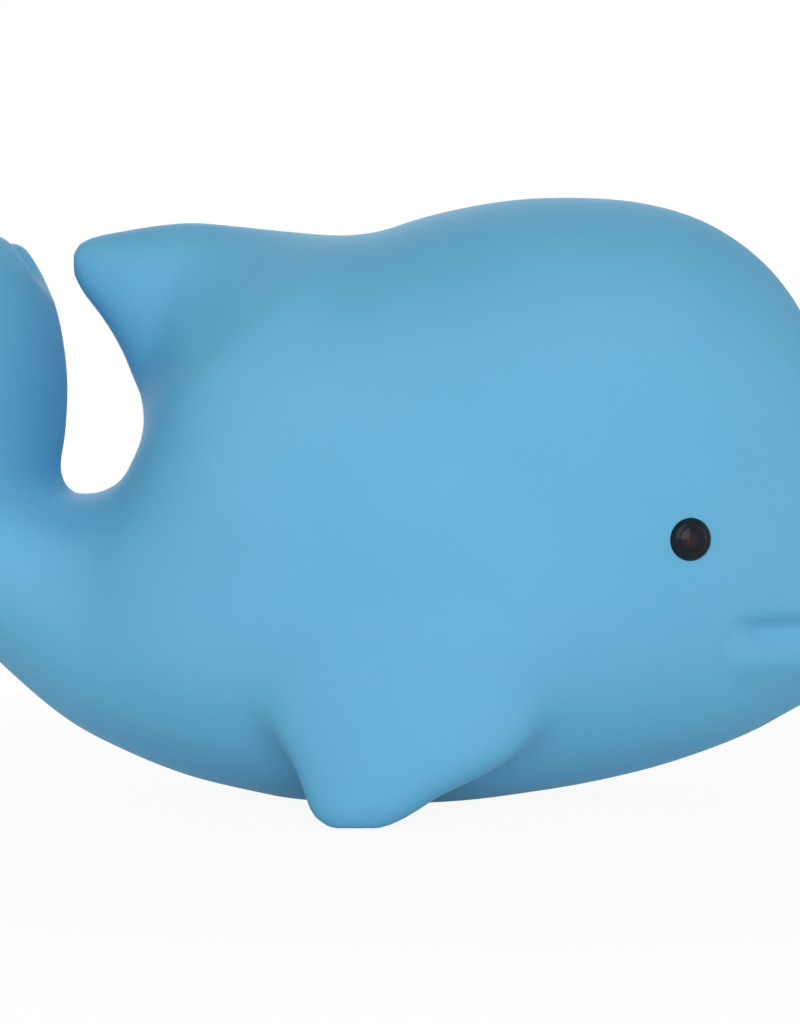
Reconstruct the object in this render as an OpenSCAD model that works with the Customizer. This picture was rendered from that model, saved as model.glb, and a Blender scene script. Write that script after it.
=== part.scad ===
// Squeaky bath toy: a hollow soft rubber dolphin with a reed squeaker in its belly
// The head points along +X, the back is up, and z = 0 is the flat of the belly that it stands on

/* [Body] */
// Length from the back of the tail to the tip of the beak
body_length = 124; // [95:1:170]
// Height from the lowest point of the belly curve to the top of the head
body_height = 75.7; // [60:0.1:105]
// Width across the flanks
body_width = 64; // [50:1:90]
// Thickness of the rubber wall
wall = 2.5; // [1.8:0.1:3.5]
// Depth of belly curve that is cut away so that the toy stands
belly_cut = 1.3; // [1:0.1:2]

/* [Fins] */
// Thickness of the dorsal fin at its root
fin_thickness = 38; // [30:0.5:44]
// Thickness of a flipper at its root
flipper_thickness = 12; // [9:0.5:14]
// Reach of a flipper from its root to its tip
flipper_reach = 20; // [17:0.5:22]
// Length of a flipper's root along the body
flipper_root = 29; // [24:0.5:32]
// Angle at which a flipper hangs below level
flipper_droop = 70; // [64:1:76]
// Width of the notch between the tail's two lobes
tail_notch_d = 9; // [6:0.5:12]

/* [Flanks] */
// Diameter of the zone of each flank that gives way when the toy is squeezed
flank_d = 38; // [30:1:40]
// Gap round that zone
flank_gap = 0.3; // [0.2:0.05:0.6]

/* [Eyes] */
// Diameter of an eye
eye_d = 5; // [3.5:0.1:6]
// Height of an eye's dome above the skin
eye_dome = 1.2; // [0.5:0.1:1.8]
// Depth of the socket that an eye sits in
eye_socket = 1.2; // [0.8:0.1:1.5]

/* [Squeaker] */
// Diameter of the squeaker's tube
tube_d = 12; // [10:0.2:14]
// Height of the squeaker's tube
tube_h = 12; // [11:0.5:14]
// Diameter of the flange at the tube's outer end
flange_d = 15; // [14.5:0.2:17]
// Thickness of the flange
flange_h = 1.3; // [1:0.1:1.8]
// Depth of the flange's face inside the flat of the belly
flange_recess = 0.5; // [0.3:0.1:1]
// Thickness of the rubber collar round the tube
collar_wall = 3; // [2:0.1:4]
// Height of the rubber collar above the flange
collar_h = 6; // [5:0.2:7]
// Height of the bead that snaps in above the collar
bead_h = 1.4; // [1:0.1:2]
// Amount by which the bead stands out from the tube
bead_out = 0.8; // [0.5:0.1:1.2]
// Diameter of the vent hole
vent_d = 3; // [2:0.1:4]
// Diameter of the bore that holds the reed
reed_bore_d = 8; // [7:0.1:8.6]
// Thickness of the tube's floor
tube_floor = 1.6; // [1.2:0.1:2]

/* [Reed] */
// Height of the reed's seat
seat_h = 13; // [12:0.5:15]
// Width of the air channel in the seat
channel_w = 4; // [3:0.1:4.4]
// Height of the clamp that holds the reed's root
clamp_h = 4; // [3:0.1:5]
// Width of the reed
reed_w = 5.2; // [4.8:0.1:6]
// Thickness of the reed
reed_t = 0.25; // [0.2:0.05:0.4]
// Gap on each side of the reed
reed_gap = 0.15; // [0.1:0.05:0.25]
// Distance from the reed's tip to the top of the seat
reed_short = 1; // [0.5:0.1:2]

/* [Hidden] */

// Clearance between pieces that are pressed together
fit = 0.05;
// Amount by which a cut runs past what it cuts
overrun = 1;
// Facets of round pieces
$fn = 64;

// Outline of the body and tail from the tail's tip to the beak's tip. Each row is one ring:
// its upper point and its lower point as shares of the length and height, its half width as a
// share of half the width, how square its upper and lower halves are, where 0 is an ellipse, and
// how far its underside rises beside the keel as a share of its half height.
outline_shares = [
    [0.088, 0.935, 0.080, 0.933, 0.28, -0.20, 0.00, 0.00],
    [0.104, 0.922, 0.065, 0.919, 0.45, -0.28, 0.00, 0.00],
    [0.125, 0.870, 0.045, 0.870, 0.55, -0.36, 0.00, 0.00],
    [0.140, 0.794, 0.024, 0.789, 0.60, -0.44, 0.00, 0.00],
    [0.147, 0.703, 0.009, 0.689, 0.60, -0.48, 0.00, 0.00],
    [0.145, 0.620, 0.001, 0.587, 0.55, -0.48, 0.00, 0.00],
    [0.140, 0.557, 0.003, 0.480, 0.50, -0.38, 0.00, 0.00],
    [0.149, 0.521, 0.018, 0.378, 0.47, -0.20, 0.00, 0.00],
    [0.167, 0.515, 0.051, 0.289, 0.48, 0.08, 0.03, 0.02],
    [0.188, 0.523, 0.097, 0.213, 0.53, 0.28, 0.08, 0.06],
    [0.210, 0.550, 0.152, 0.141, 0.61, 0.40, 0.15, 0.10],
    [0.233, 0.623, 0.210, 0.092, 0.715, 0.44, 0.22, 0.14],
    [0.280, 0.749, 0.270, 0.054, 0.825, 0.40, 0.28, 0.165],
    [0.331, 0.834, 0.326, 0.031, 0.895, 0.28, 0.31, 0.185],
    [0.386, 0.897, 0.386, 0.012, 0.95, 0.18, 0.33, 0.20],
    [0.447, 0.935, 0.452, 0.003, 0.985, 0.12, 0.33, 0.195],
    [0.512, 0.971, 0.517, 0.006, 1.00, 0.09, 0.33, 0.185],
    [0.588, 0.995, 0.588, 0.021, 0.99, 0.09, 0.33, 0.175],
    [0.658, 1.000, 0.658, 0.039, 0.96, 0.10, 0.33, 0.16],
    [0.724, 0.991, 0.724, 0.063, 0.91, 0.11, 0.33, 0.145],
    [0.784, 0.962, 0.779, 0.091, 0.845, 0.12, 0.33, 0.13],
    [0.836, 0.907, 0.830, 0.124, 0.755, 0.13, 0.33, 0.12],
    [0.875, 0.832, 0.870, 0.159, 0.67, 0.14, 0.32, 0.10],
    [0.900, 0.738, 0.900, 0.185, 0.60, 0.14, 0.30, 0.09],
    [0.917, 0.622, 0.923, 0.205, 0.54, 0.13, 0.28, 0.07],
    [0.930, 0.505, 0.943, 0.221, 0.47, 0.12, 0.24, 0.05],
    [0.958, 0.438, 0.966, 0.241, 0.385, 0.12, 0.18, 0.04],
    [0.983, 0.395, 0.985, 0.267, 0.275, 0.09, 0.14, 0.02],
    [0.996, 0.356, 0.996, 0.296, 0.15, 0.09, 0.09, 0.00],
    [1.000, 0.329, 1.000, 0.323, 0.03, 0.09, 0.09, 0.00]
];

// Outline of the dorsal fin from root to tip: leading point and trailing point as shares of the
// length and height, and its thickness as a share of the root's.
fin_shares = [
    [0.415, 0.880, 0.256, 0.587, 1.00],
    [0.376, 0.923, 0.233, 0.645, 0.75],
    [0.331, 0.949, 0.217, 0.694, 0.56],
    [0.280, 0.960, 0.202, 0.752, 0.42],
    [0.240, 0.956, 0.184, 0.802, 0.33],
    [0.205, 0.947, 0.163, 0.848, 0.23],
    [0.175, 0.937, 0.151, 0.888, 0.135],
    [0.153, 0.920, 0.146, 0.906, 0.05]
];

// A flipper from root to tip: share of its reach, then its front and back edges as shares of
// its root's length ahead of the root's middle, and its thickness as a share of the root's.
flipper_shares = [
    [0.00, 0.42, -0.48, 1.00],
    [0.25, 0.44, -0.53, 0.98],
    [0.45, 0.42, -0.525, 0.90],
    [0.62, 0.325, -0.485, 0.80],
    [0.80, 0.10, -0.443, 0.66],
    [0.92, -0.03, -0.405, 0.50],
    [1.00, -0.14, -0.335, 0.20]
];

// Middle of a flipper's root, as shares of the length, half the width and the height
flipper_place_shares = [0.497, 0.765, 0.268];
// Middle of a flank, as shares of the length and height
flank_place_shares = [0.513, 0.535];
// Place of an eye along the outline's rows, and its turn below level round its ring
eye_row_share = 0.671;
eye_turn = -4.6;
// Where along the outline's rows the hollow starts and ends
hollow_shares = [0.345, 0.765];
// Place of the squeaker along the body
squeaker_share = 0.484;
// Place along the body between the tail and the dorsal fin
tail_gap_share = 0.152;

// How blunt the ends of the hollow are
hollow_power = 5;
// Points round a ring of the body, of the hollow and of a fin
body_points = 36;
hollow_points = 28;
fin_points = 20;
// Rings for each row of an outline
row_steps = 2;
// Rings along the hollow
hollow_rings = 22;
// Share of a row, and degrees round a ring, over which the skin's direction is measured
probe_share = 0.002;
probe_turn = 1;

squeaker_x = along(squeaker_share);
flange_z = flange_recess + flange_h;
tube_top = flange_recess + tube_h;
seat_z = flange_recess + tube_floor;
reed_z = seat_z + clamp_h + reed_gap;
reed_h = seat_h - clamp_h - reed_gap - reed_short;
seat_d = reed_bore_d - 2 * fit;
bead_z = flange_z + collar_h + fit;

// A share of the length as a place along the body
function along(share) = (share - 1 / 2) * body_length;

// A share of the height as a height above the ground
function above(share) = share * body_height - belly_cut;

// A row of a table at a share of the way along it, on a smooth curve through its rows
function row_at(rows, share) =
    let (
        t = share * (len(rows) - 1),
        i = min(floor(t), len(rows) - 2),
        u = t - i,
        before = rows[max(i - 1, 0)],
        a = rows[i],
        b = rows[i + 1],
        after = rows[min(i + 2, len(rows) - 1)],
        leave = (b - before) / 2,
        arrive = (after - a) / 2,
        ease = u * u * (3 - 2 * u)
    )
    a + (b - a) * ease + leave * u * (1 - u) * (1 - u) - arrive * u * u * (1 - u);

// A sine or cosine drawn out towards the corners of a ring
function squared(v, corner) = sign(v) * pow(abs(v), 1 - corner);

// A point of the body's skin, pulled in by inset and drawn towards its ring's middle by size
function skin_point(share, turn, inset = 0, size = 1) =
    let (
        row = row_at(outline_shares, share),
        upper = [along(row[0]), above(row[1])],
        lower = [along(row[2]), above(row[3])],
        middle = (upper + lower) / 2,
        half = (upper - lower) / 2,
        corner = sin(turn) > 0 ? row[5] : row[6],
        up = squared(sin(turn), corner),
        out = squared(cos(turn), corner),
        keeled = up > 0 ? up : up * (1 - row[7] * out * out),
        high = half * size * (1 - inset / norm(half)),
        wide = (row[4] * body_width / 2 - inset) * size
    )
    [middle[0] + high[0] * keeled, wide * out, middle[1] + high[1] * keeled];

// Direction straight out of the skin
function skin_normal(share, turn) =
    let (
        lengthways = skin_point(share + probe_share, turn) - skin_point(share - probe_share, turn),
        round_it = skin_point(share, turn + probe_turn) - skin_point(share, turn - probe_turn),
        out = cross(round_it, lengthways)
    )
    out / norm(out);

// The middle of a ring of points
function middle_of(points) =
    [for (i = [0 : 2]) [for (p = points) p[i]] * [for (p = points) 1] / len(points)];

// A closed skin over rings of points
module loft(rings) {
    n = len(rings[0]);
    last = len(rings) - 1;
    points = [for (ring = rings) each ring, middle_of(rings[0]), middle_of(rings[last])];
    sides = [for (r = [0 : last - 1], k = [0 : n - 1])
        let (a = r * n + k, b = r * n + (k + 1) % n)
        each [[a, b + n, b], [a, a + n, b + n]]];
    first_cap = [for (k = [0 : n - 1]) [(last + 1) * n, k, (k + 1) % n]];
    last_cap = [for (k = [0 : n - 1]) [(last + 1) * n + 1, last * n + (k + 1) % n, last * n + k]];
    polyhedron(points, concat(sides, first_cap, last_cap));
}

module body_form() {
    steps = (len(outline_shares) - 1) * row_steps;
    loft([for (i = [0 : steps]) [for (k = [0 : body_points - 1])
        skin_point(i / steps, 360 * k / body_points)]]);
}

module hollow_form() {
    span = hollow_shares[1] - hollow_shares[0];
    loft([for (i = [0 : hollow_rings])
        let (
            u = (1 - cos(180 * (i + 1 / 2) / (hollow_rings + 1))) / 2,
            size = pow(1 - pow(abs(2 * u - 1), hollow_power), 1 / hollow_power)
        )
        [for (k = [0 : hollow_points - 1])
            skin_point(hollow_shares[0] + span * u, 360 * k / hollow_points, wall, size)]]);
}

module fin_form() {
    steps = (len(fin_shares) - 1) * row_steps;
    loft([for (i = [0 : steps])
        let (
            row = row_at(fin_shares, i / steps),
            lead = [along(row[0]), above(row[1])],
            trail = [along(row[2]), above(row[3])]
        )
        [for (k = [0 : fin_points - 1])
            let (
                turn = -360 * k / fin_points,
                p = (lead + trail) / 2 + (lead - trail) / 2 * sin(turn)
            )
            [p[0], row[4] * fin_thickness / 2 * cos(turn), p[1]]]]);
}

module left_flipper_form() {
    steps = (len(flipper_shares) - 1) * row_steps;
    root = [
        along(flipper_place_shares[0]),
        flipper_place_shares[1] * body_width / 2,
        above(flipper_place_shares[2])
    ];
    out = [0, cos(flipper_droop), -sin(flipper_droop)];
    up = [0, sin(flipper_droop), cos(flipper_droop)];
    loft([for (i = [0 : steps])
        let (
            row = row_at(flipper_shares, i / steps),
            front = row[1] * flipper_root,
            back = row[2] * flipper_root
        )
        [for (k = [0 : fin_points - 1])
            let (turn = 360 * k / fin_points)
            root + out * row[0] * flipper_reach
                + [1, 0, 0] * ((front + back) / 2 + (front - back) / 2 * sin(turn))
                + up * row[3] * flipper_thickness / 2 * cos(turn)]]);
}

module at_left() {
    mirror([0, 1, 0]) children();
}

// Everything outside the skin's own thickness: body, tail, fin and flippers
module outer_form() {
    difference() {
        union() {
            body_form();
            fin_form();
            left_flipper_form();
            at_left() left_flipper_form();
        }
        ground();
        tail_notch();
    }
}

module ground() {
    translate([-body_length, -body_width, -body_height])
        cube([2 * body_length, 2 * body_width, body_height]);
}

module tail_notch() {
    row = outline_shares[0];
    translate([along(0) - overrun, 0, above(row[1])])
        rotate([0, 90, 0])
            cylinder(d = tail_notch_d, h = along(tail_gap_share) - along(0) + overrun);
}

// A round bar from the middle of the toy out through its right flank
module right_flank_bar(d) {
    translate([along(flank_place_shares[0]), 0, above(flank_place_shares[1])])
        rotate([90, 0, 0])
            cylinder(d = d, h = body_width / 2 + overrun);
}

// Places its children on the left eye's spot with +Z straight out of the skin
module on_left_eye() {
    out = skin_normal(eye_row_share, eye_turn);
    translate(skin_point(eye_row_share, eye_turn))
        rotate([0, acos(out[2]), atan2(out[1], out[0])])
            children();
}

module left_eye_socket() {
    on_left_eye()
        translate([0, 0, -eye_socket])
            cylinder(d = eye_d + 2 * fit, h = eye_socket + eye_dome + overrun);
}

module at_squeaker(z) {
    translate([squeaker_x, 0, z]) children();
}

// The hollow above its floor and round the squeaker's collar
module air_chamber() {
    difference() {
        hollow_form();
        translate([0, 0, wall]) ground();
        at_squeaker(0) cylinder(d = tube_d + 2 * collar_wall, h = flange_z + collar_h);
    }
}

module body_shell() {
    color([0.42, 0.69, 0.85])
        difference() {
            outer_form();
            air_chamber();
            at_squeaker(-overrun) cylinder(d = tube_d + 2 * fit, h = tube_top + overrun);
            at_squeaker(-overrun) cylinder(d = flange_d + 2 * fit, h = flange_z + overrun);
            right_flank_bar(flank_d + 2 * flank_gap);
            at_left() right_flank_bar(flank_d + 2 * flank_gap);
            left_eye_socket();
            at_left() left_eye_socket();
        }
}

module right_flank() {
    color([0.46, 0.72, 0.87])
        intersection() {
            difference() {
                body_form();
                hollow_form();
            }
            right_flank_bar(flank_d);
        }
}

module left_flank() {
    at_left() right_flank();
}

module left_eye() {
    base_r = eye_d / 2;
    dome_r = (base_r * base_r + eye_dome * eye_dome) / (2 * eye_dome);
    color([0.05, 0.05, 0.07])
        on_left_eye() {
            translate([0, 0, fit - eye_socket]) cylinder(d = eye_d, h = eye_socket - fit);
            intersection() {
                translate([0, 0, eye_dome - dome_r]) sphere(r = dome_r);
                cylinder(d = eye_d, h = eye_dome + overrun);
            }
        }
}

module right_eye() {
    at_left() left_eye();
}

module squeaker_tube() {
    color([0.93, 0.94, 0.93])
        difference() {
            union() {
                at_squeaker(flange_recess) cylinder(d = flange_d, h = flange_h);
                at_squeaker(flange_recess) cylinder(d = tube_d, h = tube_h);
                at_squeaker(bead_z) cylinder(d = tube_d + 2 * bead_out, h = bead_h);
            }
            at_squeaker(seat_z) cylinder(d = reed_bore_d, h = tube_h);
            at_squeaker(0) cylinder(d = vent_d, h = tube_h);
        }
}

// Half of a round bar that fills the reed's bore, on the tail side of the reed
module half_bar(h) {
    intersection() {
        cylinder(d = seat_d, h = h);
        translate([-seat_d, -seat_d, 0])
            cube([seat_d - reed_t / 2 - reed_gap, 2 * seat_d, h]);
    }
}

module reed_seat() {
    color([0.90, 0.90, 0.86])
        at_squeaker(seat_z)
            difference() {
                half_bar(seat_h);
                translate([0, 0, -overrun]) cylinder(d = channel_w, h = seat_h - reed_short + overrun);
            }
}

module reed_clamp() {
    color([0.88, 0.80, 0.62])
        at_squeaker(seat_z)
            mirror([1, 0, 0]) half_bar(clamp_h);
}

module reed() {
    color([0.80, 0.66, 0.40])
        at_squeaker(reed_z)
            translate([-reed_t / 2, -reed_w / 2, 0])
                cube([reed_t, reed_w, reed_h]);
}

body_shell();
right_flank();
left_flank();
right_eye();
left_eye();
squeaker_tube();
reed_seat();
reed_clamp();
reed();
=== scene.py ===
"""Looks of a squeaky bath toy: a soft rubber dolphin, seen from its right side on a white floor.

The frame gives the solids. The rubber skin replaces the shell and its two flanks: it is grown as
one smooth field and cut at the moulding's parting line into two halves. All places are in metres
in the frame's own axes.
"""
import math

import bmesh
import bpy
import numpy as np
import openvdb
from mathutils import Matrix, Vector
from mathutils.geometry import delaunay_2d_cdt


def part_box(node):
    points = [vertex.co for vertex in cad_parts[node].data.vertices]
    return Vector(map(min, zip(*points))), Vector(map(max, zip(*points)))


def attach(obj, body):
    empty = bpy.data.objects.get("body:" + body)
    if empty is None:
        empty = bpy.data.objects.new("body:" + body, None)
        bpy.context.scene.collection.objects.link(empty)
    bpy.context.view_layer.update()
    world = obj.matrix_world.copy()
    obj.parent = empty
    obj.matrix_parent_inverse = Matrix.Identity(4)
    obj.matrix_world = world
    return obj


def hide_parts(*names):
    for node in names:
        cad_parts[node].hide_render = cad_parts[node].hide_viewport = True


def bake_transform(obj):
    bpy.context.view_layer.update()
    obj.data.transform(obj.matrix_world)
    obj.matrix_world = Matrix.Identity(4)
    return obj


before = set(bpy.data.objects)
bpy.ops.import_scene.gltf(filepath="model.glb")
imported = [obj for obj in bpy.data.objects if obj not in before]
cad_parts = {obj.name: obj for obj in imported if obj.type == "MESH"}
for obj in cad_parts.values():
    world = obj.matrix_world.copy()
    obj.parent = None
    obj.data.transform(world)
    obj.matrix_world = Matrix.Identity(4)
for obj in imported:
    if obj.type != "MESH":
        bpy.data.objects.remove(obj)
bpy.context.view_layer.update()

MM = 0.001

# Driving sizes of the toy, as in the solids
BODY_LENGTH = 124 * MM
BODY_HEIGHT = 75.7 * MM
BODY_WIDTH = 64 * MM
BELLY_CUT = 1.3 * MM
WALL = 2.5 * MM
FIN_THICKNESS = 38 * MM
FLIPPER_THICKNESS = 12 * MM
FLIPPER_REACH = 20 * MM
FLIPPER_ROOT = 29 * MM
FLIPPER_DROOP = math.radians(70)
TAIL_NOTCH_R = 4.5 * MM
EYE_D = 5 * MM
EYE_DOME = 1.2 * MM
EYE_SOCKET = 1.2 * MM
EYE_ROW_SHARE = 0.671
EYE_TURN = math.radians(-4.6)

# The squeaker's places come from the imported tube
TUBE_LOW, TUBE_HIGH = (Vector(corner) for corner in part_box("squeaker_tube"))
SQUEAKER = (TUBE_LOW + TUBE_HIGH) / 2
FLANGE_R = (TUBE_HIGH.x - TUBE_LOW.x) / 2
TUBE_R = 6 * MM
FLANGE_TOP = 1.8 * MM
BEAD_LOW = 7.85 * MM
BEAD_HIGH = 9.25 * MM
BEAD_R = 6.8 * MM
BORE_R = 4 * MM
BORE_LOW = 2.1 * MM
VENT_R = 1.5 * MM
EDGE_ROUND = 0.35 * MM
EDGE_STEPS = 5
COLLAR_R = 9 * MM
COLLAR_TOP = 7.8 * MM
HOLE_TOP = 2 * COLLAR_TOP
RUBBER_GAP = 0.15 * MM

# Rows of the outline from the tail's tip to the beak's tip: upper point, lower point, half width, how
# square the ring is in its upper and lower half, and how far its underside rises beside the keel
OUTLINE_SHARES = np.array([
    [0.088, 0.935, 0.080, 0.933, 0.28, -0.20, 0.00, 0.00],
    [0.104, 0.922, 0.065, 0.919, 0.45, -0.28, 0.00, 0.00],
    [0.125, 0.870, 0.045, 0.870, 0.55, -0.36, 0.00, 0.00],
    [0.140, 0.794, 0.024, 0.789, 0.60, -0.44, 0.00, 0.00],
    [0.147, 0.703, 0.009, 0.689, 0.60, -0.48, 0.00, 0.00],
    [0.145, 0.620, 0.001, 0.587, 0.55, -0.48, 0.00, 0.00],
    [0.140, 0.557, 0.003, 0.480, 0.50, -0.38, 0.00, 0.00],
    [0.149, 0.521, 0.018, 0.378, 0.47, -0.20, 0.00, 0.00],
    [0.167, 0.515, 0.051, 0.289, 0.48, 0.08, 0.03, 0.02],
    [0.188, 0.523, 0.097, 0.213, 0.53, 0.28, 0.08, 0.06],
    [0.210, 0.550, 0.152, 0.141, 0.61, 0.40, 0.15, 0.10],
    [0.233, 0.623, 0.210, 0.092, 0.715, 0.44, 0.22, 0.14],
    [0.280, 0.749, 0.270, 0.054, 0.825, 0.40, 0.28, 0.165],
    [0.331, 0.834, 0.326, 0.031, 0.895, 0.28, 0.31, 0.185],
    [0.386, 0.897, 0.386, 0.012, 0.95, 0.18, 0.33, 0.20],
    [0.447, 0.935, 0.452, 0.003, 0.985, 0.12, 0.33, 0.195],
    [0.512, 0.971, 0.517, 0.006, 1.00, 0.09, 0.33, 0.185],
    [0.588, 0.995, 0.588, 0.021, 0.99, 0.09, 0.33, 0.175],
    [0.658, 1.000, 0.658, 0.039, 0.96, 0.10, 0.33, 0.16],
    [0.724, 0.991, 0.724, 0.063, 0.91, 0.11, 0.33, 0.145],
    [0.784, 0.962, 0.779, 0.091, 0.845, 0.12, 0.33, 0.13],
    [0.836, 0.907, 0.830, 0.124, 0.755, 0.13, 0.33, 0.12],
    [0.875, 0.832, 0.870, 0.159, 0.67, 0.14, 0.32, 0.10],
    [0.900, 0.738, 0.900, 0.185, 0.60, 0.14, 0.30, 0.09],
    [0.917, 0.622, 0.923, 0.205, 0.54, 0.13, 0.28, 0.07],
    [0.930, 0.505, 0.943, 0.221, 0.47, 0.12, 0.24, 0.05],
    [0.958, 0.438, 0.966, 0.241, 0.385, 0.12, 0.18, 0.04],
    [0.983, 0.395, 0.985, 0.267, 0.275, 0.09, 0.14, 0.02],
    [0.996, 0.356, 0.996, 0.296, 0.15, 0.09, 0.09, 0.00],
    [1.000, 0.329, 1.000, 0.323, 0.03, 0.09, 0.09, 0.00],
])

# Rows of the dorsal fin from root to tip: leading point, trailing point, thickness
FIN_SHARES = np.array([
    [0.415, 0.880, 0.256, 0.587, 1.00],
    [0.376, 0.923, 0.233, 0.645, 0.75],
    [0.331, 0.949, 0.217, 0.694, 0.56],
    [0.280, 0.960, 0.202, 0.752, 0.42],
    [0.240, 0.956, 0.184, 0.802, 0.33],
    [0.205, 0.947, 0.163, 0.848, 0.23],
    [0.175, 0.937, 0.151, 0.888, 0.135],
    [0.153, 0.920, 0.146, 0.906, 0.05],
])
# Rows of the fin where its blend with the body starts to grow softer, and where it is softest
FIN_TIP_ROW = -2
FIN_ROOT_ROW = 3

# Rows of a flipper from root to tip: reach, front edge, back edge, thickness
FLIPPER_SHARES = np.array([
    [0.00, 0.42, -0.48, 1.00],
    [0.25, 0.44, -0.53, 0.98],
    [0.45, 0.42, -0.525, 0.90],
    [0.62, 0.325, -0.485, 0.80],
    [0.80, 0.10, -0.443, 0.66],
    [0.92, -0.03, -0.405, 0.50],
    [1.00, -0.14, -0.335, 0.20],
])
# Place of a flipper's root: along the body, out from its middle, and up
FLIPPER_PLACE_SHARES = (0.497, 0.765, 0.268)
# Place along the body between the tail and the dorsal fin
TAIL_GAP_SHARE = 0.15

# Rings of each form: steps from one row to the next, and points round a ring
RING_STEPS = 6
RING_POINTS = 96
# Field of the skin: cell size, spare room round the toy, cells of distance kept on each side
CELL = 0.7 * MM
ROOM = 4 * MM
BAND_CELLS = 18
# Flat rim at the parting line: how near the cut a point counts as on it, and how the rim is filled,
# with the filler's mode and its tolerance in millimetres
CUT_TOLERANCE = CELL / 100
INSIDE_WITH_HOLES = 3
FLAT_TOLERANCE = 1e-6
# Radii of the blends where the moulding's forms run into each other
FIN_BLEND = 10 * MM
FIN_TIP_BLEND = 1 * MM
FLIPPER_BLEND = 7 * MM
NOTCH_BLEND = 4 * MM
BELLY_BLEND = 0.8 * MM
# Rounding of the upright corners at the head and at the rear of the back: how far it spreads across,
# how many such spreads are evened out on each side, and where it fades in and out
CORNER_ROUND = 10 * MM
EVENED_SPREADS = 2
CORNER_Y_FULL = 20 * MM
HEAD_X_FROM = 24 * MM
HEAD_X_FULL = 42 * MM
HEAD_Z_FROM = 20 * MM
HEAD_Z_FULL = 30 * MM
REAR_X_FROM = -12 * MM
REAR_X_FULL = -28 * MM
REAR_X_LAST = -41 * MM
REAR_X_END = -46 * MM
REAR_Z_FROM = 30 * MM
REAR_Z_FULL = 38 * MM

# Mouth: the height of its line, the place of its corner and how gradually it starts there, and how
# both change with depth below the line
MOUTH_Z = 22.1 * MM
MOUTH_CORNER_X = 38.1 * MM
MOUTH_FADE = 4.0 * MM
MOUTH_LEAN = 1
MOUTH_WIDEN = 1.2
# Groove along the mouth's line: its depth, and its spread above and below the line
GROOVE_DEPTH = 1.8 * MM
GROOVE_SPREAD = 1.5 * MM
GROOVE_FALL = 4.0 * MM
# Lower lip: its round end, its rise and spread, a further swell towards the beak, and the crease
# round its end
LIP_X = 36.9 * MM
LIP_Z = 19.3 * MM
LIP_RISE = 0.9 * MM
LIP_SPREAD = 3.0 * MM
LIP_SWELL = 0.8 * MM
LIP_SWELL_X = 50 * MM
LIP_SWELL_SPREAD = 8 * MM
CREASE_AWAY = 1.5 * LIP_SPREAD
CREASE_DEPTH = 0.2 * MM
CREASE_SPREAD = 0.6 * MM

# Eye beads: rings of the dome, the fine groove round it, how close points are to be joined, and the
# step on the skin to each side of an eye that gives the direction out of it
EYE_RINGS = 24
EYE_GROOVE = 0.12 * MM
EYE_GROOVE_SHARE = 0.72
EYE_WELD = EYE_GROOVE / 100
EYE_STEP = EYE_D / BODY_LENGTH / 4

# Parting line of the moulding: half its width and its height
PARTING_HALF = 0.35 * MM
PARTING_RISE = 0.12 * MM

# Finishes: tones as places on a ramp with their colours, scales of the noises, and the lowest and
# highest roughness
RUBBER_TONES = ((0.3, (0.130, 0.428, 0.654)), (0.7, (0.148, 0.458, 0.692)))
RUBBER_CLOUD_SCALE = 38
RUBBER_CLOUD_DETAIL = 3
RUBBER_ROUGHNESS = (0.54, 0.66)
RUBBER_SPECULAR = 0.10
GRAIN_SCALE = 2600
GRAIN_STRENGTH = 0.12
GRAIN_HEIGHT = 0.05 * MM
# Tones of an eye from its middle to its rim: the faintly brown, lighter middle is a painted reflection,
# and the tones darken to navy towards the rim
EYE_TONES_WITH_PAINTED_REFLECTION = (
    (0.12, (0.028, 0.018, 0.022)),
    (0.55, (0.008, 0.010, 0.017)),
    (0.9, (0.003, 0.010, 0.018)),
)
EYE_SWIRL_SCALE = 900
EYE_ROUGHNESS = (0.08, 0.20)
EYE_SPECULAR = 0.12
WHITE_TONES = ((0, (0.80, 0.81, 0.80)), (1, (0.88, 0.88, 0.86)))
WHITE_ROUGHNESS = (0.35, 0.47)
WHITE_SCALE = 300
FILM_TONES = ((0, (0.66, 0.50, 0.26)), (1, (0.76, 0.60, 0.34)))
FILM_ROUGHNESS = (0.22, 0.34)
FILM_SCALE = 500
FLOOR_TONE = (0.9, 0.9, 0.9)
FLOOR_ROUGHNESS = 0.9

# Photograph: its size in pixels, the pixel of x = 0 and of the ground, and pixels per metre
PHOTO_W, PHOTO_H = 800, 1024
ORIGIN_PX = 418
GROUND_PY = 795
PX_PER_M = 8000
# Camera: its distance, its rise above the level, its sensor, and the nearest that it sees
CAMERA_DISTANCE = 350 * MM
CAMERA_RISE = math.radians(2)
SENSOR = 36 * MM
CLIP_START = 1 * MM

# Studio: the room's even light, the lamps with their places, sizes and powers, the point that they
# aim at, and the floor with the reach of its shadow
ROOM_LIGHT = 0.255
LAMPS = (
    ("key", (0.02, -0.80, 0.20), 0.7, 6.0),
    ("fill", (-0.20, 0.80, 0.35), 0.9, 5.0),
    ("front", (0.85, 0.10, 0.12), 0.9, 1.2),
)
LIGHT_AIM = Vector((0, 0, 35 * MM))
FLOOR_SIZE = 4.0
SHADOW_FROM = 70 * MM
SHADOW_TO = 160 * MM
SHADOW_WHITE = 0.93


def along(share):
    """Place along the body of a share of its length."""
    return (share - 0.5) * BODY_LENGTH


def above(share):
    """Height above the ground of a share of the body's height."""
    return share * BODY_HEIGHT - BELLY_CUT


def row_at(rows, share):
    """Row on a smooth curve through the given rows, at a share of the way from the first to the last."""
    t = np.atleast_1d(share) * (len(rows) - 1)
    i = np.minimum(t.astype(int), len(rows) - 2)
    u = (t - i)[:, None]
    before, a = rows[np.maximum(i - 1, 0)], rows[i]
    b, after = rows[i + 1], rows[np.minimum(i + 2, len(rows) - 1)]
    ease = u * u * (3 - 2 * u)
    leave, arrive = (b - before) / 2, (after - a) / 2
    return a + (b - a) * ease + leave * u * (1 - u) ** 2 - arrive * u * u * (1 - u)


def rows_between(rows):
    """All rows that a form's rings are drawn from."""
    return row_at(rows, np.linspace(0, 1, (len(rows) - 1) * RING_STEPS + 1))[:, :, None]


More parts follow.
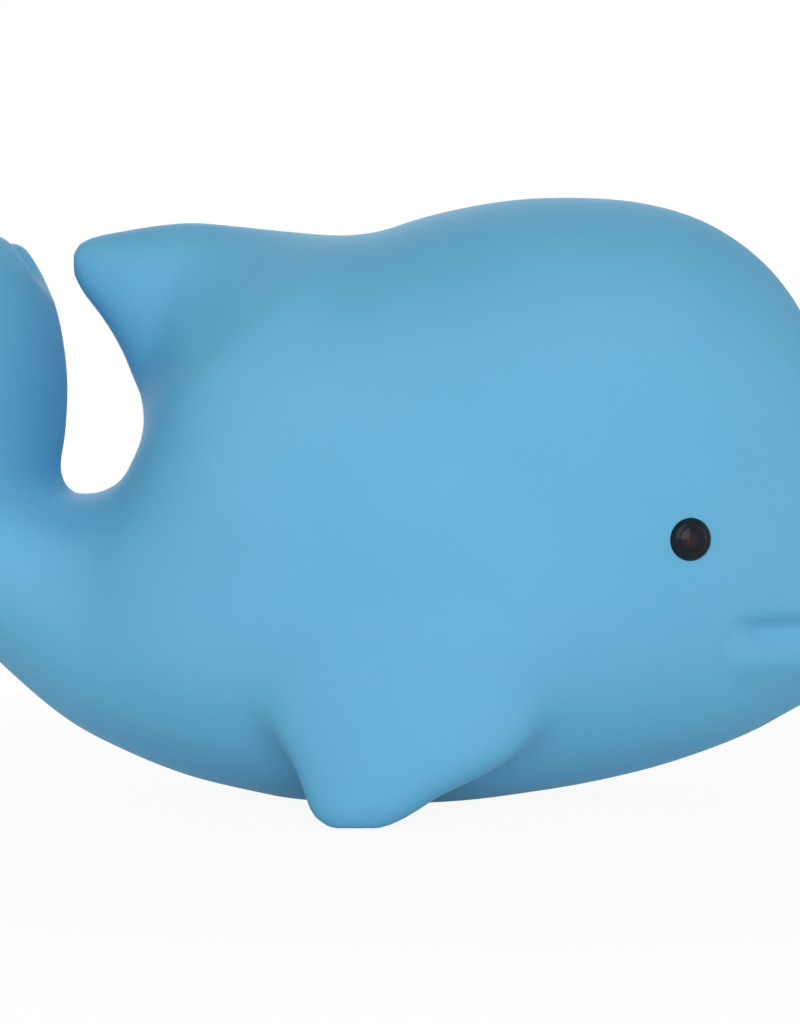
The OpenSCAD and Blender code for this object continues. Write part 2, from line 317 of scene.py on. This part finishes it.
def turns():
    """Turns of the points round a ring."""
    return np.linspace(0, 2 * math.pi, RING_POINTS, endpoint=False)[None, :]


def squared(v, corner):
    """A sine or cosine drawn out towards the corners of a ring."""
    return np.sign(v) * np.abs(v) ** (1 - corner)


def spanned(upper_x, upper_z, lower_x, lower_z, s, y):
    """Points of rings that each span two points of the outline, given as shares of the body."""
    ux, uz, lx, lz = along(upper_x), above(upper_z), along(lower_x), above(lower_z)
    x = (ux + lx) / 2 + (ux - lx) / 2 * s
    z = (uz + lz) / 2 + (uz - lz) / 2 * s
    return np.stack([x, y, z], axis=-1)


def skin_points(row, turn):
    """Points of the body's skin at some rows and turns."""
    *ends, half_width, upper_corner, lower_corner, lift = np.moveaxis(row, 1, 0)
    corner = np.where(np.sin(turn) > 0, upper_corner, lower_corner)
    s, c = squared(np.sin(turn), corner), squared(np.cos(turn), corner)
    s = np.where(s > 0, s, s * (1 - lift * c * c))
    return spanned(*ends, s, half_width * BODY_WIDTH / 2 * c)


def body_rings():
    """Rings of the body from the tail's tip to the beak's tip."""
    return skin_points(rows_between(OUTLINE_SHARES), turns())


def fin_rings():
    """Rings of the dorsal fin from root to tip."""
    *ends, thickness = np.moveaxis(rows_between(FIN_SHARES), 1, 0)
    return spanned(*ends, np.sin(-turns()), thickness * FIN_THICKNESS / 2 * np.cos(turns()))


def flipper_rings(side):
    """Rings of one flipper: side is 1 for the left and -1 for the right."""
    reach, front, back, thickness = np.moveaxis(rows_between(FLIPPER_SHARES), 1, 0)
    reach = reach * FLIPPER_REACH
    front, back = front * FLIPPER_ROOT, back * FLIPPER_ROOT
    half = thickness * FLIPPER_THICKNESS / 2 * np.cos(turns())
    place_x, place_y, place_z = FLIPPER_PLACE_SHARES
    x = along(place_x) + (front + back) / 2 + (front - back) / 2 * np.sin(side * turns())
    y = place_y * BODY_WIDTH / 2 + reach * math.cos(FLIPPER_DROOP) + half * math.sin(FLIPPER_DROOP)
    z = above(place_z) - reach * math.sin(FLIPPER_DROOP) + half * math.cos(FLIPPER_DROOP)
    return np.stack([x, side * y, z], axis=-1)


def loft(rings):
    """Points and triangles of a closed skin over rings of points."""
    count, n = rings.shape[:2]
    points = np.concatenate([rings.reshape(-1, 3), rings[:1].mean(1), rings[-1:].mean(1)])
    r, k = np.meshgrid(np.arange(count - 1), np.arange(n), indexing="ij")
    a = (r * n + k).ravel()
    b = (r * n + (k + 1) % n).ravel()
    edge, after = np.arange(n), (np.arange(n) + 1) % n
    first, last = np.full(n, count * n), np.full(n, count * n + 1)
    end = (count - 1) * n
    triangles = np.concatenate([
        np.stack([a, b, b + n], 1),
        np.stack([a, b + n, a + n], 1),
        np.stack([first, after, edge], 1),
        np.stack([last, end + edge, end + after], 1),
    ])
    return points, triangles


class Field:
    """Grid of distances round the toy, and the places of its cells."""

    def __init__(self):
        low = np.array([-BODY_LENGTH / 2, -BODY_WIDTH / 2, 0]) - ROOM
        high = np.array([BODY_LENGTH / 2, BODY_WIDTH / 2, BODY_HEIGHT]) + ROOM
        self.start = np.floor(low / CELL).astype(int)
        self.shape = tuple(np.ceil(high / CELL).astype(int) - self.start)
        places = [(self.start[i] + np.arange(self.shape[i])) * CELL for i in range(3)]
        self.x, self.y, self.z = np.meshgrid(*places, indexing="ij", sparse=True)
        self.transform = openvdb.createLinearTransform(voxelSize=CELL)

    def of(self, rings):
        """Distances to a lofted form."""
        points, triangles = loft(rings)
        grid = openvdb.FloatGrid.createLevelSetFromPolygons(
            points.astype(np.float32), triangles=triangles.astype(np.uint32),
            transform=self.transform, halfWidth=BAND_CELLS)
        out = np.zeros(self.shape, np.float32)
        grid.copyToArray(out, ijk=tuple(int(v) for v in self.start))
        return out

    def surface(self, distances):
        """Points and faces where the distances cross zero."""
        grid = openvdb.FloatGrid(BAND_CELLS * CELL)
        grid.copyFromArray(distances.astype(np.float32), ijk=tuple(int(v) for v in self.start))
        grid.transform = self.transform
        return grid.convertToQuads(isovalue=0)


def blend_union(a, b, radius):
    """Distances to a and b together, with a rounded inner corner."""
    mix = np.clip(0.5 + 0.5 * (b - a) / radius, 0, 1)
    return b + (a - b) * mix - radius * mix * (1 - mix)


def blend_cut(a, b, radius):
    """What is left of a when b is cut out of it, with a rounded edge."""
    return -blend_union(-a, b, radius)


def bump(distance, spread):
    """A soft bump that is 1 at no distance."""
    return np.exp(-(distance / spread) ** 2)


def ramp(v, start, end):
    """A soft step from 0 at start to 1 at end."""
    u = np.clip((v - start) / (end - start), 0, 1)
    return u * u * (3 - 2 * u)


def evened_across(d, spread):
    """Distances evened out from side to side, which rounds the upright corners of a form."""
    reach = math.ceil(EVENED_SPREADS * spread / CELL)
    weights = bump(np.arange(-reach, reach + 1) * CELL, spread)
    wide = np.pad(d, ((0, 0), (reach, reach), (0, 0)), mode="edge")
    return sum(w * wide[:, i:i + d.shape[1]] for i, w in enumerate(weights / weights.sum()))


def bar_z(field, radius, low, high):
    """Distances to an upright round bar on the squeaker's axis."""
    r = np.hypot(field.x - SQUEAKER.x, field.y) - radius
    h = np.abs(field.z - (low + high) / 2) - (high - low) / 2
    return np.maximum(r, h)


def with_round_corners(field, d):
    """The body with the upright corners of its head and of the rear of its back rounded."""
    at_head = ramp(field.x, HEAD_X_FROM, HEAD_X_FULL) * ramp(field.z, HEAD_Z_FROM, HEAD_Z_FULL)
    at_rear = ramp(field.x, REAR_X_FROM, REAR_X_FULL) * ramp(field.x, REAR_X_END, REAR_X_LAST)
    at_rear = at_rear * ramp(field.z, REAR_Z_FROM, REAR_Z_FULL)
    aside = ramp(np.abs(field.y), 0, CORNER_Y_FULL)
    return d + (at_head + at_rear) * aside * (evened_across(d, CORNER_ROUND) - d)


def with_fin(field, d):
    """The body with its dorsal fin, which joins it closely at the tip and softly at the root."""
    at_root = ramp(field.x, along(FIN_SHARES[FIN_TIP_ROW, 0]), along(FIN_SHARES[FIN_ROOT_ROW, 0]))
    return blend_union(d, field.of(fin_rings()), FIN_TIP_BLEND + at_root * (FIN_BLEND - FIN_TIP_BLEND))


def with_tail_notch(field, d):
    """The body with a notch between the tail's lobes, which ends before the dorsal fin."""
    tail_top = above(OUTLINE_SHARES[0, 1])
    gap = along(TAIL_GAP_SHARE)
    notch = np.hypot(field.y, field.z - tail_top) - TAIL_NOTCH_R
    notch = notch + ramp(field.x, gap, gap + TAIL_NOTCH_R) * BODY_WIDTH
    return blend_cut(d, notch, NOTCH_BLEND)


def with_mouth(field, d):
    """The body with the mouth's groove, the lower lip and the crease round the lip's end."""
    over = field.z - MOUTH_Z
    below = np.maximum(-over, 0)
    corner = MOUTH_CORNER_X + below * MOUTH_LEAN
    half_fade = MOUTH_FADE / 2 + below * MOUTH_WIDEN
    grooved = ramp(field.x, corner - half_fade, corner + half_fade)
    d = d + grooved * GROOVE_DEPTH * bump(over, np.where(over > 0, GROOVE_SPREAD, GROOVE_FALL))
    from_lip = np.hypot(np.minimum(field.x - LIP_X - LIP_SPREAD, 0), field.z - LIP_Z)
    rise = LIP_RISE + LIP_SWELL * bump(field.x - LIP_SWELL_X, LIP_SWELL_SPREAD)
    d = d - rise * bump(from_lip, LIP_SPREAD)
    at_end = ramp(field.x, LIP_X + LIP_SPREAD, LIP_X)
    return d + at_end * CREASE_DEPTH * bump(from_lip - CREASE_AWAY, CREASE_SPREAD)


def skin_distances(field):
    """Distances to the toy's outer skin."""
    d = with_fin(field, with_round_corners(field, field.of(body_rings())))
    for side in (1, -1):
        d = blend_union(d, field.of(flipper_rings(side)), FLIPPER_BLEND)
    d = with_mouth(field, with_tail_notch(field, d))
    return blend_cut(d, field.z, BELLY_BLEND)


def rubber_distances(field):
    """Distances to the rubber itself: the skin less its hollow and the squeaker's hole."""
    skin = skin_distances(field)
    hollow = np.maximum(skin + WALL, -bar_z(field, COLLAR_R, 0, COLLAR_TOP))
    rubber = np.maximum(skin, -hollow)
    rubber = np.maximum(rubber, -bar_z(field, TUBE_R + RUBBER_GAP, -ROOM, HOLE_TOP))
    return np.maximum(rubber, -bar_z(field, FLANGE_R + RUBBER_GAP, -ROOM, FLANGE_TOP))


def new_mesh_object(name, points, faces):
    """A new object in the scene with a mesh of the given points and faces."""
    mesh = bpy.data.meshes.new(name)
    mesh.from_pydata([tuple(p) for p in points], [], [tuple(f) for f in faces])
    mesh.update()
    piece = bpy.data.objects.new(name, mesh)
    bpy.context.scene.collection.objects.link(piece)
    return piece


def smooth_outwards(piece, weld=0):
    """Turn a piece's faces outwards and shade them smooth, with points within a weld's length joined."""
    work = bmesh.new()
    work.from_mesh(piece.data)
    if weld:
        bmesh.ops.remove_doubles(work, verts=work.verts, dist=weld)
    bmesh.ops.recalc_face_normals(work, faces=work.faces)
    for f in work.faces:
        f.smooth = True
    work.to_mesh(piece.data)
    work.free()


def fill_rim(work, edges):
    """Flat faces between the outlines that the edges draw, with what lies inside a hollow left open."""
    corners = list({v for e in edges for v in e.verts})
    number = {v: i for i, v in enumerate(corners)}
    flat = [Vector((v.co.x, v.co.z)) / MM for v in corners]
    lines = [(number[e.verts[0]], number[e.verts[1]]) for e in edges]
    _, _, faces, sources, *_ = delaunay_2d_cdt(flat, lines, [], INSIDE_WITH_HOLES, FLAT_TOLERANCE)
    origin = [corners[source[0]] for source in sources]
    return [work.faces.new([origin[i] for i in face]) for face in faces]


def skin_half(name, points, faces, side):
    """One half of the rubber, cut flat along the parting line."""
    piece = new_mesh_object(name, points, faces)
    work = bmesh.new()
    work.from_mesh(piece.data)
    bmesh.ops.recalc_face_normals(work, faces=work.faces)
    cut = bmesh.ops.bisect_plane(
        work, geom=work.verts[:] + work.edges[:] + work.faces[:], dist=CUT_TOLERANCE,
        plane_co=(0, 0, 0), plane_no=(0, -side, 0), clear_outer=True)
    edges = [e for e in cut["geom_cut"] if isinstance(e, bmesh.types.BMEdge)]
    for f in work.faces:
        f.smooth = True
    for f in fill_rim(work, edges):
        f.smooth = False
    for e in edges:
        e.smooth = False
    bmesh.ops.recalc_face_normals(work, faces=work.faces)
    work.to_mesh(piece.data)
    work.free()
    return piece


def new_material(name):
    """A new material with its nodes, its links and its shader."""
    material = bpy.data.materials.new(name)
    material.use_nodes = True
    tree = material.node_tree
    return material, tree.nodes, tree.links, tree.nodes["Principled BSDF"]


def new_noise(nodes, scale, detail=2):
    """A noise of some scale."""
    noise = nodes.new("ShaderNodeTexNoise")
    noise.inputs["Scale"].default_value = scale
    noise.inputs["Detail"].default_value = detail
    return noise


def new_tones(nodes, tones):
    """A colour ramp through the given tones."""
    node = nodes.new("ShaderNodeValToRGB")
    elements = node.color_ramp.elements
    for element, (place, colour) in zip(elements, (tones[0], tones[-1])):
        element.position = place
        element.color = (*colour, 1)
    for place, colour in tones[1:-1]:
        elements.new(place).color = (*colour, 1)
    return node


def new_range(nodes, low, high):
    """A node that turns 0 to 1 into low to high."""
    node = nodes.new("ShaderNodeMapRange")
    node.inputs["To Min"].default_value = low
    node.inputs["To Max"].default_value = high
    return node


def new_math(nodes, operation, kind="ShaderNodeMath"):
    """A node that does one sum, on numbers or on vectors."""
    node = nodes.new(kind)
    node.operation = operation
    return node


def rubber_material():
    """Matte rubber with faint clouds, a fine grain and a low ridge along the parting line."""
    material, nodes, links, shader = new_material("blue_rubber")
    place = nodes.new("ShaderNodeTexCoord")
    cloud = new_noise(nodes, RUBBER_CLOUD_SCALE, RUBBER_CLOUD_DETAIL)
    tone = new_tones(nodes, RUBBER_TONES)
    gloss = new_range(nodes, *RUBBER_ROUGHNESS)
    links.new(place.outputs["Object"], cloud.inputs["Vector"])
    links.new(cloud.outputs["Fac"], tone.inputs["Fac"])
    links.new(cloud.outputs["Fac"], gloss.inputs["Value"])
    links.new(tone.outputs["Color"], shader.inputs["Base Color"])
    links.new(gloss.outputs["Result"], shader.inputs["Roughness"])
    grain = new_noise(nodes, GRAIN_SCALE)
    bumps = nodes.new("ShaderNodeBump")
    bumps.inputs["Strength"].default_value = GRAIN_STRENGTH
    bumps.inputs["Distance"].default_value = GRAIN_HEIGHT
    links.new(place.outputs["Object"], grain.inputs["Vector"])
    links.new(grain.outputs["Fac"], bumps.inputs["Height"])
    split = nodes.new("ShaderNodeSeparateXYZ")
    aside = new_math(nodes, "ABSOLUTE")
    line = new_range(nodes, 1, 0)
    line.interpolation_type = "SMOOTHSTEP"
    line.inputs["From Max"].default_value = PARTING_HALF
    ridge = nodes.new("ShaderNodeBump")
    ridge.inputs["Distance"].default_value = PARTING_RISE
    links.new(place.outputs["Object"], split.inputs["Vector"])
    links.new(split.outputs["Y"], aside.inputs[0])
    links.new(aside.outputs["Value"], line.inputs["Value"])
    links.new(line.outputs["Result"], ridge.inputs["Height"])
    links.new(bumps.outputs["Normal"], ridge.inputs["Normal"])
    links.new(ridge.outputs["Normal"], shader.inputs["Normal"])
    shader.inputs["Specular IOR Level"].default_value = RUBBER_SPECULAR
    return material


def make_skin():
    """The rubber as two halves, cut at the parting line, which take the place of the shell and the
    flanks.
    """
    field = Field()
    points, faces = field.surface(rubber_distances(field))
    rubber = rubber_material()
    for name, side, flank, body in (("right_skin", -1, "right_flank", "right_side"),
                                    ("left_skin", 1, "left_flank", "left_side")):
        piece = skin_half(name, points, faces, side)
        piece.data.materials.append(rubber)
        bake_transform(piece)
        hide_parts("body_shell", flank)


def eye_material():
    """Glossy black, darker navy towards the rim, with a faintly brown, lighter middle that is a painted
    reflection.
    """
    material, nodes, links, shader = new_material("eye_black")
    place = nodes.new("ShaderNodeTexCoord")
    centred = new_math(nodes, "MULTIPLY_ADD", "ShaderNodeVectorMath")
    centred.inputs[1].default_value = (2, 0, 2)
    centred.inputs[2].default_value = (-1, 0, -1)
    outward = new_math(nodes, "LENGTH", "ShaderNodeVectorMath")
    # Painted reflection: tones by distance from the bead's middle, lighter and brown in the middle,
    # darker navy at the rim
    tone = new_tones(nodes, EYE_TONES_WITH_PAINTED_REFLECTION)
    tone.color_ramp.interpolation = "EASE"
    swirl = new_noise(nodes, EYE_SWIRL_SCALE)
    gloss = new_range(nodes, *EYE_ROUGHNESS)
    links.new(place.outputs["Generated"], centred.inputs[0])
    links.new(centred.outputs["Vector"], outward.inputs[0])
    links.new(outward.outputs["Value"], tone.inputs["Fac"])
    links.new(tone.outputs["Color"], shader.inputs["Base Color"])
    links.new(place.outputs["Object"], swirl.inputs["Vector"])
    links.new(swirl.outputs["Fac"], gloss.inputs["Value"])
    links.new(gloss.outputs["Result"], shader.inputs["Roughness"])
    shader.inputs["Specular IOR Level"].default_value = EYE_SPECULAR
    return material


def eye_spot(side):
    """Place of an eye on the skin, and the direction straight out of it."""
    around = [(-EYE_STEP, 0), (EYE_STEP, 0), (0, -EYE_STEP), (0, EYE_STEP), (0, 0)]
    back, ahead, below, over, middle = (
        Vector(skin_points(row_at(OUTLINE_SHARES, EYE_ROW_SHARE + a)[:, :, None],
                           np.array([[EYE_TURN + b]]))[0, 0]) for a, b in around)
    out = (ahead - back).cross(over - below).normalized()
    out = out if out.y > 0 else -out
    mirror = Vector((1, side, 1))
    return middle * mirror, out * mirror


def bead_profile():
    """Radius and height of an eye bead's rings: a stem, and a dome with a fine groove round it."""
    radius = EYE_D / 2
    turn = np.linspace(0, math.pi / 2, EYE_RINGS)
    r = radius * np.cos(turn)
    h = EYE_DOME * np.sin(turn) - EYE_GROOVE * bump(r - EYE_GROOVE_SHARE * radius, EYE_GROOVE)
    return [(0, -EYE_SOCKET), (radius, -EYE_SOCKET)] + list(zip(r, h))


def make_eyes():
    """A bead in each eye's socket, in place of the eye's solid."""
    black = eye_material()
    t = turns()[0]
    for name, side, body in (("right_eye", -1, "right_side"), ("left_eye", 1, "left_side")):
        spot, out = eye_spot(side)
        turned = out.to_track_quat("Z", "Y")
        rings = []
        for r, h in bead_profile():
            ring = np.stack([r * np.cos(t), r * np.sin(t), np.full(t.shape, h)], axis=-1)
            rings.append([spot + turned @ Vector(p) for p in ring])
        points, faces = loft(np.array(rings))
        bead = new_mesh_object(name.replace("eye", "bead"), points, faces)
        smooth_outwards(bead, EYE_WELD)
        bead.data.materials.append(black)
        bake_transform(bead)
        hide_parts(name)


def plastic_material(name, tones, roughness, scale):
    """A moulded plastic whose colour and gloss drift a little."""
    material, nodes, links, shader = new_material(name)
    place = nodes.new("ShaderNodeTexCoord")
    cloud = new_noise(nodes, scale)
    tone = new_tones(nodes, tones)
    gloss = new_range(nodes, *roughness)
    links.new(place.outputs["Object"], cloud.inputs["Vector"])
    links.new(cloud.outputs["Fac"], tone.inputs["Fac"])
    links.new(cloud.outputs["Fac"], gloss.inputs["Value"])
    links.new(tone.outputs["Color"], shader.inputs["Base Color"])
    links.new(gloss.outputs["Result"], shader.inputs["Roughness"])
    return material


def rounded(profile):
    """A closed outline of radii and heights with each corner drawn as a small arc."""
    out = []
    for i, here in enumerate(profile):
        here = np.array(here)
        before, after = np.array(profile[i - 1]), np.array(profile[(i + 1) % len(profile)])
        to_before, to_after = before - here, after - here
        reach_before, reach_after = np.linalg.norm(to_before), np.linalg.norm(to_after)
        cut = min(EDGE_ROUND, reach_before / 2, reach_after / 2)
        start, end = here + to_before / reach_before * cut, here + to_after / reach_after * cut
        for u in np.linspace(0, 1, EDGE_STEPS):
            out.append((1 - u) ** 2 * start + 2 * u * (1 - u) * here + u * u * end)
    return np.array(out)


def make_tube(finish):
    """The squeaker's flanged tube, turned from one outline with softened edges."""
    low, high = TUBE_LOW.z, TUBE_HIGH.z
    outline = rounded([
        (VENT_R, low), (FLANGE_R, low), (FLANGE_R, FLANGE_TOP), (TUBE_R, FLANGE_TOP),
        (TUBE_R, BEAD_LOW), (BEAD_R, BEAD_LOW), (BEAD_R, BEAD_HIGH), (TUBE_R, BEAD_HIGH),
        (TUBE_R, high), (BORE_R, high), (BORE_R, BORE_LOW), (VENT_R, BORE_LOW),
    ])
    r, z = outline[:, 0, None], outline[:, 1, None]
    t = turns()
    rings = np.stack([SQUEAKER.x + r * np.cos(t), r * np.sin(t), z + 0 * t], axis=-1)
    count, n = rings.shape[:2]
    faces = []
    for i in range(count):
        here, after = i * n, (i + 1) % count * n
        for k in range(n):
            turned = (k + 1) % n
            faces.append((here + k, here + turned, after + turned, after + k))
    tube = new_mesh_object("turned_tube", rings.reshape(-1, 3), faces)
    smooth_outwards(tube)
    tube.data.materials.append(finish)
    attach(tube, "toy")
    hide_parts("squeaker_tube")


def dress_squeaker():
    """Finishes of the squeaker: a turned tube, and its other solids as they are."""
    white = plastic_material("squeaker_white", WHITE_TONES, WHITE_ROUGHNESS, WHITE_SCALE)
    film = plastic_material("reed_film", FILM_TONES, FILM_ROUGHNESS, FILM_SCALE)
    make_tube(white)
    for node, finish in (("reed_seat", white), ("reed_clamp", white), ("reed", film)):
        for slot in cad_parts[node].material_slots:
            slot.material = finish


def make_floor():
    """A pale floor that keeps the toy's shadow, fades to white away from it and is clear from below."""
    points = [(x * FLOOR_SIZE, y * FLOOR_SIZE, 0) for x, y in ((-1, -1), (1, -1), (1, 1), (-1, 1))]
    floor = new_mesh_object("floor", points, [(0, 1, 2, 3)])
    material, nodes, links, shader = new_material("floor")
    shader.inputs["Base Color"].default_value = (*FLOOR_TONE, 1)
    shader.inputs["Roughness"].default_value = FLOOR_ROUGHNESS
    shader.inputs["Specular IOR Level"].default_value = 0
    place = nodes.new("ShaderNodeNewGeometry")
    far = new_math(nodes, "LENGTH", "ShaderNodeVectorMath")
    fade = new_range(nodes, SHADOW_WHITE, 1)
    fade.interpolation_type = "SMOOTHSTEP"
    fade.inputs["From Min"].default_value = SHADOW_FROM
    fade.inputs["From Max"].default_value = SHADOW_TO
    white = nodes.new("ShaderNodeEmission")
    seen = seen_factor(nodes, links)
    share = new_math(nodes, "MULTIPLY")
    mix = nodes.new("ShaderNodeMixShader")
    links.new(place.outputs["Position"], far.inputs[0])
    links.new(far.outputs["Value"], fade.inputs["Value"])
    links.new(fade.outputs["Result"], share.inputs[0])
    links.new(seen, share.inputs[1])
    links.new(share.outputs["Value"], mix.inputs["Fac"])
    links.new(shader.outputs["BSDF"], mix.inputs[1])
    links.new(white.outputs["Emission"], mix.inputs[2])
    clear = nodes.new("ShaderNodeBsdfTransparent")
    under = nodes.new("ShaderNodeMixShader")
    links.new(place.outputs["Backfacing"], under.inputs["Fac"])
    links.new(mix.outputs["Shader"], under.inputs[1])
    links.new(clear.outputs["BSDF"], under.inputs[2])
    links.new(under.outputs["Shader"], nodes["Material Output"].inputs["Surface"])
    floor.data.materials.append(material)


def seen_factor(nodes, links):
    """A socket that is 1 where the camera, a mirror or glass looks, and 0 for light that is scattered."""
    path = nodes.new("ShaderNodeLightPath")
    first = new_math(nodes, "MAXIMUM")
    both = new_math(nodes, "MAXIMUM")
    links.new(path.outputs["Is Camera Ray"], first.inputs[0])
    links.new(path.outputs["Is Glossy Ray"], first.inputs[1])
    links.new(first.outputs["Value"], both.inputs[0])
    links.new(path.outputs["Is Transmission Ray"], both.inputs[1])
    return both.outputs["Value"]


def make_light(name, place, size, power):
    """A square lamp that faces the toy."""
    data = bpy.data.lights.new(name, "AREA")
    data.size = size
    data.energy = power
    lamp = bpy.data.objects.new(name, data)
    lamp.location = place
    lamp.rotation_euler = (LIGHT_AIM - Vector(place)).to_track_quat("-Z", "Y").to_euler()
    bpy.context.scene.collection.objects.link(lamp)


def make_lights():
    """An even room that looks white, and broad lamps at the toy's two sides and before its head."""
    world = bpy.data.worlds.new("studio")
    bpy.context.scene.world = world
    world.use_nodes = True
    nodes, links = world.node_tree.nodes, world.node_tree.links
    room = nodes["Background"]
    room.inputs["Color"].default_value = (1, 1, 1, 1)
    strength = new_range(nodes, ROOM_LIGHT, 1)
    links.new(seen_factor(nodes, links), strength.inputs["Value"])
    links.new(strength.outputs["Result"], room.inputs["Strength"])
    for name, place, size, power in LAMPS:
        make_light(name, place, size, power)


def make_camera():
    """A camera at the photograph's viewing angle, with its frame."""
    data = bpy.data.cameras.new("camera")
    data.sensor_fit = "HORIZONTAL"
    data.sensor_width = SENSOR / MM
    data.lens = SENSOR / MM * CAMERA_DISTANCE * PX_PER_M / PHOTO_W
    data.clip_start = CLIP_START
    camera = bpy.data.objects.new("camera", data)
    aim = Vector(((PHOTO_W / 2 - ORIGIN_PX) / PX_PER_M, 0, (GROUND_PY - PHOTO_H / 2) / PX_PER_M))
    away = Vector((0, -math.cos(CAMERA_RISE), math.sin(CAMERA_RISE)))
    camera.location = aim + away * CAMERA_DISTANCE
    camera.rotation_euler = (-away).to_track_quat("-Z", "Y").to_euler()
    bpy.context.scene.collection.objects.link(camera)
    bpy.context.scene.camera = camera


make_camera()
make_skin()
make_eyes()
dress_squeaker()
make_floor()
make_lights()
bpy.context.scene.view_settings.view_transform = "Standard"
